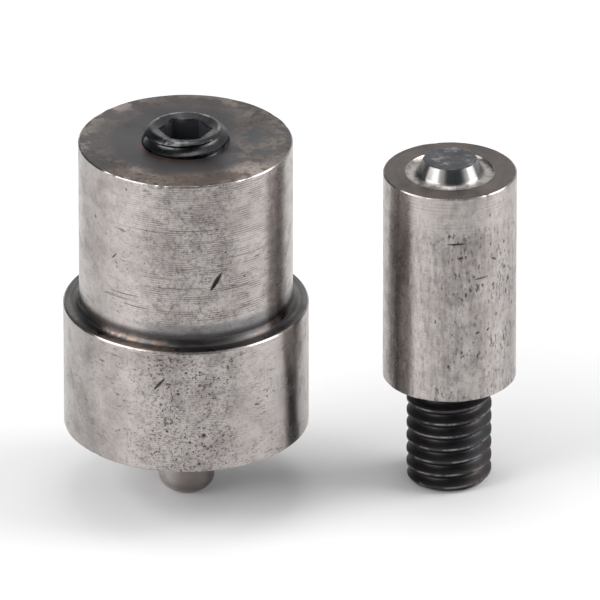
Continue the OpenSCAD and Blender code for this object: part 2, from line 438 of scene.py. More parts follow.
def key_socket(shell, end_z, side):
    """Hexagon socket: rows from its edge down a cone, a wider lead-in and the flats, to the middle."""
    six = hexagon(shell.turns)
    lead = LEAD_SHARE * six
    slope = side * SOCKET_DIP / SOCKET_FLARE
    lip = end_z - (FLARE_R - lead) * slope
    floor = np.full_like(six, end_z - side * SOCKET_DEPTH)
    edge = np.full_like(six, FLARE_R)
    level = np.full_like(six, end_z)
    # Each row has its radius, its height, how far it is worn bare, and whether it takes the socket's painted
    # shade
    rows = [
        (edge, level, 1.0, 0),
        (edge - 2 * HEM, level - 2 * HEM * slope, CONE_WEAR, 0),
        ((edge + lead) / 2, (level + lip) / 2, CONE_WEAR, 0),
        (lead + HEM, lip + HEM * slope, CONE_WEAR, 0),
        (lead, lip, LIP_WEAR, 0),
        (six, lip - side * KEY_LEAD, 0, 1),
        (six, floor, 0, 1),
        (six - HEM, floor, 0, 1),
        (0.3 * six, floor - side * 2 / 3 * SOCKET_POINT, 0, 1),
        (0 * six, floor - side * SOCKET_POINT, 0, 1),
    ]
    radius, height, crest, dark = zip(*rows)
    shell.add(np.array(radius), np.array(height),
              crest=np.array(crest)[:, None], dark=np.array(dark)[:, None])


# The two black threaded pieces

def spring_screw():
    """Socket set screw: threaded, with a round bevel and a socket at the top, and a cone at the foot.

    The radius is the smaller of the thread's and of a cone that widens by as much as it climbs from the foot.
    """
    shell = Shell(ANVIL_AXIS, even_turns(THREAD_COLUMNS))
    low, high = screw_low.z, screw_high.z
    height, along = helix_rows(shell, low, high - SCREW_BEVEL, SCREW_CREST_Z)
    radius = np.minimum(THREAD_R - thread_form(along), THREAD_R - POINT_CHAMFER + (height - low))
    radius = np.where(height <= low, THREAD_R - POINT_CHAMFER, radius)
    shell.add(radius, height, ROWS_A_PITCH, crest=worn(along))
    thread_end(shell, high, 1, SCREW_BEVEL, SCREW_CREST_Z, 0.55)
    key_socket(shell, high, 1)
    foot = np.array([[THREAD_R - POINT_CHAMFER], [1.5 * MM], [0.0]])
    shell.add(foot, low)
    return shell.finished("spring_screw_dressed")


def mounting_stud():
    """Stud: thread below the punch, plain grip at the pitch diameter inside it, socket in the foot."""
    shell = Shell(PUNCH_AXIS, even_turns(THREAD_COLUMNS))
    low, high = stud_low.z, SEAT_Z + 0.4 * MM
    height, along = helix_rows(shell, low + STUD_ROUND, high, STUD_CREST_Z)
    radius = THREAD_R - thread_form(along)
    radius = np.where(height > SEAT_Z - HEM, np.minimum(radius, GRIP_R), radius)
    radius = np.where(height >= high, GRIP_R, radius)
    shell.add(radius, height, ROWS_A_PITCH, crest=worn(along))
    thread_end(shell, low, -1, STUD_ROUND, STUD_CREST_Z, 1.0)
    key_socket(shell, low, -1)
    grip_end = stud_high.z - POINT_CHAMFER / 2
    turned(shell, profile_of(
        (straight((GRIP_R, high), (GRIP_R, grip_end), 3 * MM), BRIGHT),
        (straight((GRIP_R - POINT_CHAMFER / 2, stud_high.z), (0, stud_high.z), 2 * MM), BRIGHT)))
    return shell.finished("mounting_stud_dressed")


# The anvil die and its pilot

def anvil_body():
    """Flange and barrel in one turning, dished below, bored and tapped along its axis.

    The dish is an arc through its two edges, DISH_DEPTH deep in the middle. The tapped hole is a helix that
    eases from the chamber's radius into the thread, and ends in a cone at the mouth.
    """
    angles, spots = nick_spots(ANVIL_NICKS, BARREL_R)
    shell = Shell(ANVIL_AXIS, refined(np.radians(np.arange(-180, 180, 2.0)), angles, ANVIL_FINE_TURN))
    dish_inner = GUIDE_R + DISH_LAND
    dish_half = (DISH_R - dish_inner) / 2
    dish_arc = (dish_half ** 2 + DISH_DEPTH ** 2) / (2 * DISH_DEPTH)
    dish_span = math.degrees(math.asin(dish_half / dish_arc))
    dish_middle = (dish_inner + dish_half, FACE_Z + DISH_DEPTH - dish_arc)
    flange_low = (FLANGE_R, FACE_Z + FLANGE_CHAMFER)
    flange_high = (FLANGE_R, SHOULDER_Z - FLANGE_CHAMFER)
    barrel_top = (BARREL_R, TOP_Z - BARREL_CHAMFER)
    fillet = (BARREL_R + SHOULDER_FILLET, SHOULDER_Z + SHOULDER_FILLET)
    mouth = (TAPPED_R + MOUTH_CHAMFER, TOP_Z)

    def wall(low, high):
        """A wall with rows close together at the heights of the nicks on it."""
        own = [spot for spot in spots if low[1] < spot[0] < high[1]]
        heights = refined(straight(low, high, 0.9 * MM)[:, 1], own, ANVIL_FINE_RISE)
        return np.column_stack([np.full_like(heights, low[0]), heights])

    profile = profile_of(
        (straight((CHAMBER_R, THREAD_Z), (CHAMBER_R, GUIDE_Z), 2 * MM), BRIGHT),
        (straight((CHAMBER_R, GUIDE_Z), (GUIDE_R, GUIDE_Z), 2 * MM), BRIGHT),
        (straight((GUIDE_R, GUIDE_Z), (GUIDE_R, FACE_Z), 2 * MM), BRIGHT),
        (straight((GUIDE_R, FACE_Z), (dish_inner, FACE_Z)), BRIGHT),
        (arc(dish_middle, dish_arc, 90 + dish_span, 90 - dish_span, 18), BRIGHT),
        (straight((DISH_R, FACE_Z), (FLANGE_R - FLANGE_CHAMFER, FACE_Z)), BRIGHT),
        (straight((FLANGE_R - FLANGE_CHAMFER, FACE_Z), flange_low, 0.15 * MM), BRIGHT),
        (wall(flange_low, flange_high), BRIGHT),
        (straight(flange_high, (FLANGE_R - FLANGE_CHAMFER, SHOULDER_Z), 0.15 * MM), BRIGHT),
        (straight((FLANGE_R - FLANGE_CHAMFER - HAIR, SHOULDER_Z), (fillet[0], SHOULDER_Z), 0.3 * MM), DARK),
        (arc(fillet, SHOULDER_FILLET, 270, 180, 8), DARK),
        (wall((BARREL_R, fillet[1] + HEM), barrel_top), BRIGHT),
        (straight(barrel_top, (BARREL_R - BARREL_CHAMFER, TOP_Z), 0.12 * MM), BRIGHT),
        (straight((BARREL_R - BARREL_CHAMFER - HAIR, TOP_Z), mouth, 0.5 * MM), DARK))
    turned(shell, profile, ANVIL_NICKS, [
        ((BARREL_R, TOP_Z), 0.5 * MM, edge_dents(shell.turns, 11, 26, 0.09 * MM)),
        ((FLANGE_R, SHOULDER_Z), 0.35 * MM, edge_dents(shell.turns, 12, 22, 0.02 * MM)),
        ((FLANGE_R, FACE_Z), 0.65 * MM, edge_dents(shell.turns, 13, 14, 0.09 * MM))])
    height, along = helix_rows(shell, THREAD_Z, TOP_Z, SCREW_CREST_Z, BORE_ROWS)
    started = np.clip((height - THREAD_Z) / BORE_LEAD, 0, 1)
    deep = TAPPED_R - np.minimum(thread_form(along), TAPPED_R - CHAMBER_R - 0.02 * MM)
    radius = CHAMBER_R + (deep - CHAMBER_R) * started ** 2 * (3 - 2 * started)
    radius = np.maximum(radius, TAPPED_R + MOUTH_CHAMFER - (TOP_Z - height))
    radius = np.where(height >= TOP_Z, mouth[0], radius)
    shell.add(radius, height, BORE_ROWS, dark=1.0)
    return shell.finished("anvil_body_dressed")


def pilot_pin():
    """Turned pin: a flat end rounded by a quarter circle, and a collar whose edges are broken."""
    shell = Shell(ANVIL_AXIS, even_turns(PILOT_COLUMNS))
    end = PILOT_R - PILOT_ROUND
    broken = 0.12 * MM
    top = pilot_high.z
    profile = profile_of(
        (straight((0, 0), (end, 0), 0.5 * MM), BRIGHT),
        (arc((end, PILOT_ROUND), PILOT_ROUND, 270, 360, 14), BRIGHT),
        (straight((PILOT_R, PILOT_ROUND), (PILOT_R, GUIDE_Z), 0.8 * MM), BRIGHT),
        (straight((PILOT_R, GUIDE_Z), (COLLAR_R - broken, GUIDE_Z)), BRIGHT),
        (straight((COLLAR_R, GUIDE_Z + broken), (COLLAR_R, top - broken)), BRIGHT),
        (straight((COLLAR_R - broken, top), (0, top), 1 * MM), BRIGHT))
    turned(shell, profile)
    return shell.finished("pilot_pin_dressed")


def pilot_spring():
    """Compression spring: a circle of the wire carried along a helix whose pitch closes up at both ends.

    The height grows with the turn by the pitch there, and the pitch changes smoothly over a third of a turn.
    """
    steps, sides = 40, 12
    turns = SPRING_TURNS + 2
    turn = np.linspace(0, turns, turns * steps + 1)
    low, high = spring_low.z + WIRE_R, spring_high.z - WIRE_R
    open_share = np.clip((turn - 0.85) / 0.3, 0, 1) * np.clip((turns - 0.85 - turn) / 0.3, 0, 1)
    middle = (open_share[1:] + open_share[:-1]) / 2
    gain = np.diff(turn)
    open_pitch = (high - low - SPRING_END_PITCH * gain.sum()) / (middle * gain).sum()
    height = low + np.r_[0, np.cumsum((SPRING_END_PITCH + open_pitch * middle) * gain)]
    coil_r = (spring_high.x - spring_low.x) / 2 - WIRE_R
    around = even_turns(sides)
    radius = coil_r + WIRE_R * np.cos(around)[None, :]
    angle = 2 * math.pi * turn[:, None]
    points = np.stack([ANVIL_AXIS[0] + radius * np.cos(angle), ANVIL_AXIS[1] + radius * np.sin(angle),
                       height[:, None] + WIRE_R * np.sin(around)[None, :]], axis=2).reshape(-1, 3)
    faces = ring_faces(len(turn), sides, 0).tolist()
    faces += [list(range(sides)), [len(points) - 1 - k for k in range(sides)]]
    return make_object("pilot_spring_dressed", points, faces, {})


# The curling punch

def punch_body():
    """Punch: plain body with a blind hole below, and the rim face, the curling groove and the nose above.

    The groove is an arc round a centre above the rim face, from its lip on the rim to the foot of the nose.
    The flank of the nose is the line from the top edge of the nose that just reaches into the groove.
    """
    angles, spots = nick_spots(PUNCH_NICKS, PUNCH_R)
    shell = Shell(PUNCH_AXIS, refined(np.radians(np.arange(-180, 180, 2.5)), angles, PUNCH_FINE_TURN))
    hole_r = GRIP_R + THREAD_GAP
    mouth_r = THREAD_R + THREAD_GAP + MOUTH_CHAMFER
    hole_top = SEAT_Z + STUD_GRIP
    side_low = (PUNCH_R, SEAT_Z + PUNCH_CHAMFER)
    side_high = (PUNCH_R, RIM_Z - PUNCH_CHAMFER)
    side = refined(straight(side_low, side_high, 0.9 * MM)[:, 1], spots, PUNCH_FINE_RISE)
    nose_edge = np.array([NOSE_R, punch_high.z])
    curl = np.array([NOSE_R + CURL_STEP, RIM_Z + CURL_LIFT])
    to_curl = curl - nose_edge
    reach = np.linalg.norm(to_curl)
    inside = 0.98 * CURL_R
    flank = math.atan2(to_curl[1], to_curl[0]) - math.asin(inside / reach)
    flank_way = np.array([math.cos(flank), math.sin(flank)])
    foot = nose_edge + math.sqrt(reach ** 2 - inside ** 2) * flank_way
    foot_angle = math.degrees(math.atan2(foot[1] - curl[1], foot[0] - curl[0])) % 360
    lip_angle = 360 - math.degrees(math.asin(CURL_LIFT / CURL_R))
    lip = curl + CURL_R * np.array([math.cos(math.radians(lip_angle)), math.sin(math.radians(lip_angle))])
    profile = profile_of(
        (straight((0, hole_top), (hole_r, hole_top), 2 * MM), BRIGHT),
        (straight((hole_r, hole_top), (hole_r, SEAT_Z + mouth_r - hole_r), 3 * MM), BRIGHT),
        (straight((hole_r, SEAT_Z + mouth_r - hole_r), (mouth_r, SEAT_Z), 0.3 * MM), BRIGHT),
        (straight((mouth_r, SEAT_Z), (PUNCH_R - PUNCH_CHAMFER, SEAT_Z)), BRIGHT),
        (straight((PUNCH_R - PUNCH_CHAMFER, SEAT_Z), side_low, 0.12 * MM), BRIGHT),
        (np.column_stack([np.full_like(side, PUNCH_R), side]), BRIGHT),
        (straight(side_high, (PUNCH_R - PUNCH_CHAMFER, RIM_Z), 0.12 * MM), BRIGHT),
        (straight((PUNCH_R - PUNCH_CHAMFER - HEM / 4, RIM_Z), lip + (HEM, 0), 0.3 * MM), DARK),
        (arc(curl, CURL_R, lip_angle, foot_angle, 16), POLISHED),
        (straight(foot, nose_edge + NOSE_ROUND * flank_way, 0.3 * MM), POLISHED),
        (straight(nose_edge + NOSE_ROUND * 0.3 * flank_way, nose_edge - (NOSE_ROUND, 0), 0.1 * MM), DARK),
        (straight(nose_edge - (NOSE_ROUND + HEM / 4, 0), (0, punch_high.z), 0.4 * MM), DARK))
    turned(shell, profile, PUNCH_NICKS, [
        ((PUNCH_R, RIM_Z), 0.4 * MM, edge_dents(shell.turns, 21, 16, 0.07 * MM)),
        ((PUNCH_R, SEAT_Z), 0.4 * MM, edge_dents(shell.turns, 22, 12, 0.06 * MM))])
    return shell.finished("punch_body_dressed")


# Shader helpers

def is_socket(value):
    return isinstance(value, bpy.types.NodeSocket)


def tree_of(*values):
    """The node tree of the first socket among the values."""
    return next(value.id_data for value in values if is_socket(value))


def fill(socket, value):
    """Links an input to another node's output, or sets its own value."""
    if is_socket(value):
        socket.id_data.links.new(value, socket)
    else:
        socket.default_value = value


def put(tree, kind, *values, **options):
    """Adds a node with its options, and fills its inputs in order; None leaves one as it is."""
    made = tree.nodes.new("ShaderNode" + kind)
    for option, value in options.items():
        setattr(made, option, value)
    for socket, value in zip(made.inputs, values):
        if value is not None:
            fill(socket, value)
    return made


def reckon(operation, first, second=0.5):
    return put(tree_of(first, second), "Math", first, second, operation=operation).outputs[0]


def times(first, *others):
    for other in others:
        first = reckon("MULTIPLY", first, other)
    return first


def scaled(place, factors):
    """A place with each of its parts multiplied by its own factor."""
    return put(tree_of(place), "VectorMath", place, factors, operation="MULTIPLY").outputs[0]


def ease(value, low, high, start=0.0, end=1.0):
    """Eases from start to end as the value goes from low to high."""
    made = put(tree_of(value), "MapRange", value, low, high, start, end, interpolation_type="SMOOTHSTEP")
    return made.outputs[0]


def between(share, start, end):
    """Eases from start to end as a share goes from 0 to 1."""
    return ease(share, 0.0, 1.0, start, end)


def tint(share, first, second):
    """Mixes two colours by a share."""
    made = put(tree_of(share), "Mix", share, data_type="RGBA")
    for socket, colour in zip(made.inputs[6:8], (first, second)):
        fill(socket, colour if is_socket(colour) else (*colour, 1.0))
    return made.outputs[2]


def layered(colour, *layers):
    """Tints a colour with one layer after another, each given as its share and its colour."""
    for share, layer in layers:
        colour = tint(share, colour, layer)
    return colour


def blend(share, first, second):
    """Mixes two values by a share."""
    return put(tree_of(share), "Mix", share, None, first, second, data_type="FLOAT").outputs[0]


def parts(place):
    """The x, y and z of a place."""
    return put(tree_of(place), "SeparateXYZ", place).outputs


def from_axis(place):
    """Distance of a place from the axis of its die."""
    flat = scaled(place, (1.0, 1.0, 0.0))
    return put(tree_of(place), "VectorMath", flat, operation="LENGTH").outputs[1]


def noise(place, scale, detail, rough):
    return put(tree_of(place), "TexNoise", place, None, scale, detail, rough).outputs[0]


def new_group(name, values, results):
    """An empty node group that takes a place and named values, and gives named results."""
    group = bpy.data.node_groups.new(name, "ShaderNodeTree")
    group.interface.new_socket("Place", in_out="INPUT", socket_type="NodeSocketVector")
    for label in values:
        group.interface.new_socket(label, in_out="INPUT", socket_type="NodeSocketFloat")
    for label in results:
        group.interface.new_socket(label, in_out="OUTPUT", socket_type="NodeSocketFloat")
    given = list(group.nodes.new("NodeGroupInput").outputs)[:1 + len(values)]
    return group, given, group.nodes.new("NodeGroupOutput").inputs


def use_group(group, place, *values):
    """The results of a node group at a place."""
    made = tree_of(place).nodes.new("ShaderNodeGroup")
    made.node_tree = group
    for socket, value in zip(made.inputs, (place, *values)):
        fill(socket, value)
    return made.outputs


def tool_lines_group():
    """Lines left by a tool: noise with one scale round the axis and one along it, cut to dark lines."""
    values = ("Round", "Along", "Low", "High")
    group, (place, around, along, low, high), result = new_group("tool_lines", values, ("Lines", "Height"))
    scale = put(group, "CombineXYZ", around, around, along).outputs[0]
    height = noise(scaled(place, scale), 1.0, 3.0, 0.6)
    fill(result["Lines"], ease(height, low, high))
    fill(result["Height"], height)
    return group


def feed_marks_group():
    """Marks of a tool's feed: a sine wave along the axis, shifted a little and broken up by noise."""
    group, (place, pitch, broken), result = new_group("feed_marks", ("Pitch", "Broken"), ("Marks",))
    sway = times(noise(place, 120.0, 2.0, 0.5), 0.8)
    turns = reckon("ADD", reckon("DIVIDE", parts(place)[2], pitch), sway)
    wave = reckon("SINE", times(turns, 2 * math.pi))
    whole = ease(noise(scaled(place, (1.0, 1.0, 2.5)), broken, 3.0, 0.6), 0.40, 0.62)
    fill(result["Marks"], times(ease(wave, -0.3, 0.9), whole))
    return group


def face_rings_group():
    """Rings left by facing: noise of the distance from the axis, which drifts slowly round it."""
    group, (place, fine, around), result = new_group("face_rings", ("Fine", "Round"), ("Rings",))
    x, y, _ = parts(place)
    ring = put(group, "CombineXYZ", times(from_axis(place), fine), times(x, around), times(y, around))
    fill(result["Rings"], noise(ring.outputs[0], 1.0, 3.0, 0.6))
    return group


def speckle_group():
    """Speckles: noise of a scale, detail and roughness, eased from 0 to 1 between two levels."""
    values = ("Scale", "Detail", "Rough", "Low", "High")
    group, (place, scale, detail, rough, low, high), result = new_group("speckle", values, ("Speckle",))
    fill(result["Speckle"], ease(noise(place, scale, detail, rough), low, high))
    return group


def pits_group():
    """Pits: small cells near their middles, of which only some are kept."""
    group, (place, scale, size, kept), result = new_group("pits", ("Scale", "Size", "Kept"), ("Pits",))
    wander = put(group, "TexNoise", place, None, 2500.0).outputs["Color"]
    shift = scaled(wander, (0.00025, 0.00025, 0.00025))
    moved = put(group, "VectorMath", place, shift, operation="ADD").outputs[0]
    cells = put(group, "TexVoronoi", moved, None, scale).outputs
    spot = ease(cells["Distance"], size, times(size, 0.5))
    lot = put(group, "SeparateColor", cells["Color"]).outputs[0]
    fill(result["Pits"], times(spot, reckon("LESS_THAN", lot, kept)))
    return group


TOOL_LINES = tool_lines_group()
FEED_MARKS = feed_marks_group()
FACE_RINGS = face_rings_group()
SPECKLE = speckle_group()
PITS = pits_group()


def speckle(place, scale, detail, rough, low, high):
    return use_group(SPECKLE, place, scale, detail, rough, low, high)[0]


def stain(place, scale, low, high):
    """Soft blotches: speckles with much detail."""
    return speckle(place, scale, 5.0, 0.62, low, high)


def start_material(name, axis):
    """A metal, the inputs of its shader, and the place of a point measured from the die's axis."""
    material = bpy.data.materials.new(name)
    material.use_nodes = True
    tree = material.node_tree
    shader = tree.nodes["Principled BSDF"].inputs
    shader["Metallic"].default_value = 1.0
    here = put(tree, "TexCoord").outputs["Object"]
    place = put(tree, "Mapping", here, (-axis[0], -axis[1], 0)).outputs[0]
    return material, shader, place


def mark(place, name):
    """A mark that is stored on the points of the mesh."""
    return put(tree_of(place), "Attribute", attribute_name=name).outputs["Fac"]


def stretch_gloss(shader, amount):
    """Stretches the gloss along the axis, across the lines that turning leaves."""
    shader["Anisotropic"].default_value = amount
    shader["Anisotropic Rotation"].default_value = 0.25
    tangent = shader["Tangent"]
    fill(tangent, put(tangent.id_data, "Tangent", direction_type="RADIAL", axis="Z").outputs[0])


def bumped(shader, height, distance):
    """Turns a height from 0 to 1 into bumps as high as the distance."""
    made = put(tree_of(height), "Bump")
    for label, value in (("Strength", 1.0), ("Distance", distance), ("Height", height)):
        fill(made.inputs[label], value)
    fill(shader["Normal"], made.outputs[0])


PALE_STEEL = (0.475, 0.438, 0.422)
WARM_GREY = (0.29, 0.255, 0.245)
LINE_GREY = (0.165, 0.145, 0.139)
STAIN_GREY = (0.215, 0.189, 0.182)
PIT_BLACK = (0.060, 0.052, 0.051)
# Painted shade at the foot of the barrel: a bluish haze and a near black band
FOOT_HAZE_SHADE_GREY = (0.155, 0.158, 0.168)
FOOT_SHADE_BLACK = (0.055, 0.051, 0.052)
EDGE_BROWN = (0.19, 0.158, 0.145)
TOP_GREYS = (0.070, 0.071, 0.076), (0.074, 0.069, 0.070)
TOP_TANS = (0.118, 0.086, 0.072), (0.170, 0.138, 0.122)
FLAKE_GREY = (0.270, 0.235, 0.212)
SCREW_RUST = (0.120, 0.060, 0.045)
GRIT_BLACK = (0.045, 0.037, 0.034)
STEP_GREYS = (0.139, 0.133, 0.133), (0.104, 0.088, 0.083)
STEP_RUST = (0.265, 0.200, 0.162)
RING_BLACK = (0.042, 0.037, 0.037)
ANVIL_NICK_OXIDE_AND_SHADE = (0.03, 0.027, 0.026)


def anvil_walls(place, x, z, radius):
    """Turned walls: feed marks, grain and pits that grow to the right and thin out in the right lamp's
    highlight, and painted shade at the foot above the shoulder.
    """
    on_flange = ease(z, SHOULDER_Z, SHOULDER_Z - 1 * MM)
    rightward = ease(x, -9 * MM, 0.0)
    # Painted highlight: grain, pepper, specks and blotches thin out on the right, where the right lamp's
    # reflection lies, which lightens that side
    thinned_in_right_highlight = ease(x, 7 * MM, 4 * MM, 0.25, 1.0)
    eaten = stain(place, 260.0, 0.40, 0.58)
    cloud = stain(place, 430.0, 0.44, 0.70)
    aside = put(tree_of(place), "VectorMath", place, (0.031, 0.017, 0.043)).outputs[0]
    ticks = use_group(TOOL_LINES, aside, 760.0, 3300.0, 0.57, 0.68)
    feed = times(use_group(FEED_MARKS, place, 0.262 * MM, 420.0)[0],
                 between(rightward, 0.2, 0.85), between(on_flange, 1.0, 0.45))
    grain = times(speckle(place, 1900.0, 4.0, 0.8, 0.47, 0.63), thinned_in_right_highlight, between(rightward, 0.26, 0.60))
    pepper = times(speckle(place, 3000.0, 2.0, 0.6, 0.54, 0.66), between(eaten, 0.5, 1.0),
                   between(rightward, 0.2, 1.0), between(on_flange, 0.5, 1.0), thinned_in_right_highlight)
    specks = times(use_group(PITS, place, 2500.0, 0.30, 0.34)[0], eaten, on_flange,
                   ease(x, -12 * MM, -7 * MM), thinned_in_right_highlight)
    pits = times(use_group(PITS, place, 900.0, 0.16, 0.4)[0], eaten)
    blotch = times(stain(place, 170.0, 0.42, 0.66), ease(thinned_in_right_highlight, 0.25, 1.0, 0.3, 0.6))
    # Painted shade: the barrel darkens towards its foot above the shoulder, under a bluish haze that fades
    # upwards
    above = ease(radius, BARREL_R + 0.9 * MM, BARREL_R + 0.6 * MM)
    foot_shade_haze = times(ease(z, SHOULDER_Z + 3.0 * MM, SHOULDER_Z + 2.1 * MM), above, ease(x, -7 * MM, -1 * MM))
    foot = times(ease(z, SHOULDER_Z + 1.9 * MM, SHOULDER_Z + 1.1 * MM), above)
    edge = ease(z, SHOULDER_Z - 1.15 * FLANGE_CHAMFER, SHOULDER_Z - 0.9 * FLANGE_CHAMFER)
    colour = layered(
        tint(blotch, PALE_STEEL, WARM_GREY),
        (times(cloud, 0.35), STAIN_GREY),
        (feed, LINE_GREY),
        (grain, LINE_GREY),
        (pepper, PIT_BLACK),
        (times(ticks[0], eaten, 0.6), PIT_BLACK),
        (times(reckon("MAXIMUM", specks, pits), 0.8), PIT_BLACK),
        (times(foot_shade_haze, 0.7), FOOT_HAZE_SHADE_GREY),
        (times(foot, 0.85), FOOT_SHADE_BLACK),
        (times(edge, on_flange, 0.3), EDGE_BROWN))
    relief = reckon("SUBTRACT", times(ticks[1], 0.5), times(reckon("MAXIMUM", pits, feed), 0.6))
    return colour, cloud, relief


def anvil_top(place, x, y, radius):
    """Top face: dark scale, with rust and pale flakes towards the rim. Returns its colour, rust and grit."""
    frontward = ease(y, -1.5 * MM, -7.0 * MM)
    crust = stain(place, 260.0, 0.34, 0.50)
    rust = reckon("MAXIMUM", times(ease(radius, 7.6 * MM, 9.8 * MM), crust, between(frontward, 0.35, 1.0)),
                  times(stain(place, 240.0, 0.46, 0.58), ease(x, 4 * MM, 7.5 * MM), 0.8))
    by_screw = times(ease(radius, 5.9 * MM, 5.1 * MM), ease(y, 1 * MM, -3 * MM),
                     ease(x, 1.5 * MM, -1 * MM), crust)
    beside = ease(reckon("ABSOLUTE", x), 2.5 * MM, 6.5 * MM, 0.4, 1.0)
    by_rim = reckon("MAXIMUM", ease(radius, 9.2 * MM, 11.2 * MM), rust)
    flaked = times(stain(place, 430.0, 0.46, 0.55), beside, by_rim)
    grit = noise(place, 2000.0, 4.0, 0.7)
    colour = layered(
        tint(stain(place, 110.0, 0.40, 0.62), *TOP_GREYS),
        (times(rust, 0.9), tint(beside, *TOP_TANS)),
        (times(flaked, 0.9), FLAKE_GREY),
        (times(by_screw, 0.8), SCREW_RUST),
        (times(ease(grit, 0.52, 0.66), between(rust, 0.25, 0.8)), GRIT_BLACK))
    return colour, rust, grit


def anvil_step(place, x, y):
    """Colour of the shoulder: grey scale with dark rings, and rust on the front left."""
    front_left = times(ease(x, 0.5 * MM, -3 * MM), ease(y, -6 * MM, -9 * MM))
    rings = use_group(FACE_RINGS, place, 1900.0, 60.0)[0]
    return layered(
        tint(stain(place, 300.0, 0.42, 0.64), *STEP_GREYS),
        (times(front_left, stain(place, 1300.0, 0.42, 0.54), 0.85), STEP_RUST),
        (ease(rings, 0.46, 0.58, 0.0, 0.75), RING_BLACK))


def anvil_steel():
    """Turned steel: pale walls, and dark faces at the top and on the shoulder."""
    material, shader, place = start_material("anvil_turned_steel", ANVIL_AXIS)
    dark = mark(place, "dark")
    x, y, z = parts(place)
    radius = from_axis(place)
    wall, cloud, wall_relief = anvil_walls(place, x, z, radius)
    top, rust, grit = anvil_top(place, x, y, radius)
    low = ease(z, SHOULDER_Z + 4 * MM, SHOULDER_Z + 3 * MM)
    colour = tint(dark, wall, tint(low, top, anvil_step(place, x, y)))
    # The nicks darken with their depth: oxide in them, and painted shade for the depth
    fill(shader["Base Color"], tint(times(mark(place, "nick"), 0.95), colour, ANVIL_NICK_OXIDE_AND_SHADE))
    rough = reckon("ADD", between(cloud, 0.24, 0.31), times(dark, between(rust, 0.06, 0.2)))
    fill(shader["Roughness"], reckon("SUBTRACT", rough, times(dark, low, 0.08)))
    stretch_gloss(shader, 0.95)
    face_relief = times(grit, between(low, 0.8, 0.25))
    bumped(shader, blend(dark, wall_relief, face_relief), 0.008 * MM)
    return material


RIM_GREYS = (0.110, 0.094, 0.089), (0.087, 0.076, 0.073)
RIM_BROWN = (0.150, 0.114, 0.094)
NOSE_GREYS = (0.066, 0.067, 0.075), (0.38, 0.38, 0.39)
FLANK_GREYS = (0.27, 0.265, 0.26), (0.19, 0.185, 0.18)
GROOVE_GREYS = (0.50, 0.465, 0.44), (0.25, 0.232, 0.22)
PUNCH_NICK_OXIDE_AND_SHADE = (0.05, 0.045, 0.044)


def punch_walls(place, x, z):
    """Ground walls: faint rings near the top, and upright streaks, grain and pits lower down."""
    below = ease(z, RIM_Z - 2.6 * MM, RIM_Z - 5.5 * MM)
    rightward = ease(x, -4 * MM, 0.5 * MM)
    upright = scaled(place, (1.0, 1.0, 0.45))
    eaten = times(stain(place, 330.0, 0.40, 0.60), below, between(rightward, 0.25, 1.0))
    cloud = stain(place, 520.0, 0.42, 0.68)
    blotch = stain(place, 230.0, 0.42, 0.68)
    feed = use_group(FEED_MARKS, place, 0.42 * MM, 300.0)[0]
    streaks = use_group(TOOL_LINES, place, 2300.0, 210.0, 0.46, 0.64)[0]
    grain = speckle(upright, 1900.0, 4.0, 0.8, 0.47, 0.63)
    pepper = speckle(upright, 2700.0, 2.0, 0.6, 0.55, 0.67)
    specks = times(use_group(PITS, upright, 2300.0, 0.32, 0.45)[0], eaten)
    pits = times(use_group(PITS, upright, 1300.0, 0.24, 0.40)[0], eaten)
    pitted = reckon("MAXIMUM", specks, pits)
    colour = layered(
        tint(times(blotch, between(below, 0.22, 0.45)), PALE_STEEL, WARM_GREY),
        (times(cloud, 0.28), STAIN_GREY),
        (times(feed, between(below, 0.22, 0.08)), LINE_GREY),
        (times(streaks, between(below, 0.12, 0.30)), LINE_GREY),
        (times(grain, between(below, 0.22, 0.42)), LINE_GREY),
        (times(pepper, between(eaten, 0.15, 0.8)), PIT_BLACK),
        (times(pitted, 0.9), PIT_BLACK))
    relief = reckon("SUBTRACT", times(grain, -0.15), reckon("MAXIMUM", pitted, times(feed, 0.25)))
    return colour, cloud, relief


def punch_faces(place, radius):
    """Dull rim with fine rings and brown stains, and the scuffed nose. Returns the colour and the relief."""
    rings = use_group(FACE_RINGS, place, 5200.0, 120.0)[0]
    rim = tint(ease(rings, 0.35, 0.65), *RIM_GREYS)
    rim = tint(times(stain(place, 420.0, 0.42, 0.64), 0.5), rim, RIM_BROWN)
    swirl = scaled(place, (0.55, 1.3, 1.0))
    scuffs = speckle(swirl, 1050.0, 5.0, 0.78, 0.50, 0.68)
    nose = tint(times(scuffs, 0.8), *NOSE_GREYS)
    relief = reckon("ADD", rings, times(noise(place, 2000.0, 3.0, 0.6), 0.8))
    return tint(ease(radius, NOSE_R + 0.3 * MM, NOSE_R), rim, nose), relief


def punch_steel():
    """Ground steel: streaked walls, dull faces, and a polished flank and groove round the nose."""
    material, shader, place = start_material("punch_ground_steel", PUNCH_AXIS)
    dark, polish = mark(place, "dark"), mark(place, "polish")
    x, _, z = parts(place)
    radius = from_axis(place)
    wall, cloud, wall_relief = punch_walls(place, x, z)
    face, face_relief = punch_faces(place, radius)
    # The nicks darken with their depth: oxide in them, and painted shade for the depth
    colour = tint(times(mark(place, "nick"), 0.9), tint(dark, wall, face), PUNCH_NICK_OXIDE_AND_SHADE)
    in_groove = ease(radius, NOSE_R + 0.75 * MM, NOSE_R + 0.95 * MM)
    mottle = speckle(place, 1500.0, 4.0, 0.7, 0.42, 0.62)
    polished = tint(in_groove, tint(times(cloud, 0.3), *FLANK_GREYS), tint(mottle, *GROOVE_GREYS))
    fill(shader["Base Color"], tint(polish, colour, polished))
    rough, shine = between(cloud, 0.26, 0.33), between(in_groove, 0.25, 0.32)
    fill(shader["Roughness"], blend(polish, rough, shine))
    stretch_gloss(shader, 0.95)
    relief = blend(dark, wall_relief, face_relief)
    bumped(shader, times(relief, reckon("SUBTRACT", 1.0, times(polish, 0.85))), 0.010 * MM)
    return material


